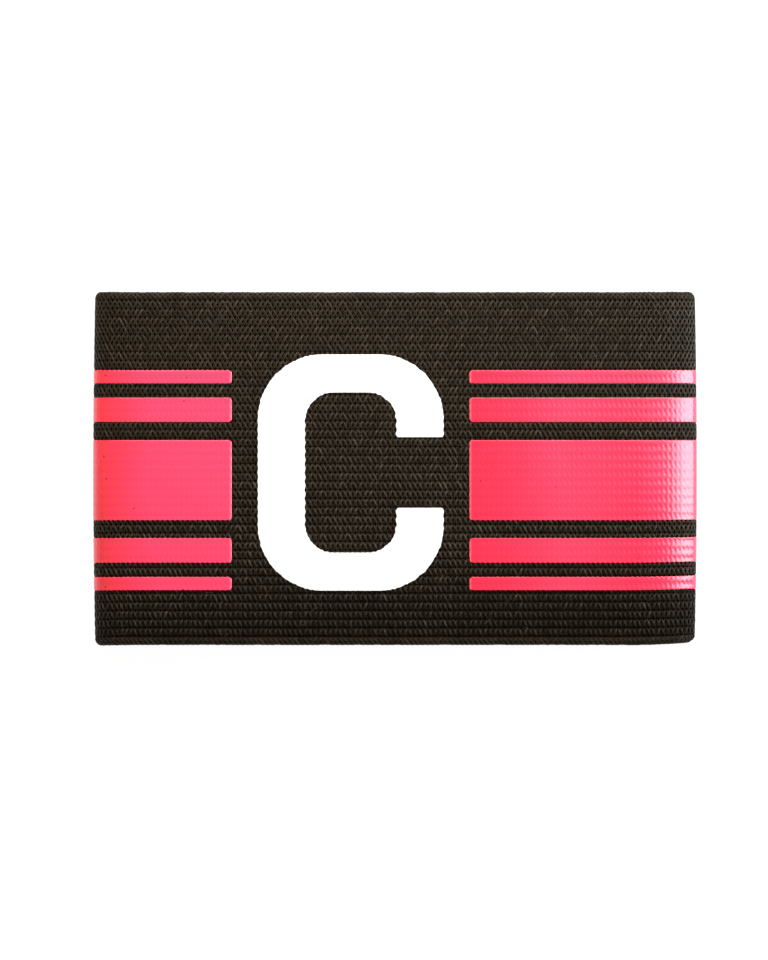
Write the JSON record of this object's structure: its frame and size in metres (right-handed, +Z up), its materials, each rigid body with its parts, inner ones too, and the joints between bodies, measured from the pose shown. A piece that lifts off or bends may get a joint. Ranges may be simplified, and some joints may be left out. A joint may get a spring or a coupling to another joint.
{
  "type": "captain armband",
  "caption": "Sports captain's armband: a flat-lying loop of ribbed knitted elastic with a block letter C and pink bars of pressed film.",
  "frame": {"origin": "on the surface it lies on, under the middle of the flattened band", "axes": "+X along the flattened loop, to the right of the letter; +Y across the band, towards the letter's top; +Z up, out of the lettered face"},
  "size_m": [0.1204, 0.0704, 0.009],
  "materials": {
    "knit_elastic": "matte ribbed knit of dark brown-black yarn over rubber",
    "letter_film": "smooth matte white heat-pressed film",
    "stripe_film": "satin pink heat-pressed film"
  },
  "bodies": {
    "root": {"elastic_loop": "knit_elastic", "letter_c": "letter_film", "left_top_line": "stripe_film", "left_upper_bar": "stripe_film", "left_broad_bar": "stripe_film", "left_lower_bar": "stripe_film", "left_bottom_line": "stripe_film", "right_top_line": "stripe_film", "right_upper_bar": "stripe_film", "right_broad_bar": "stripe_film", "right_lower_bar": "stripe_film", "right_bottom_line": "stripe_film"}
  },
  "joints": []
}
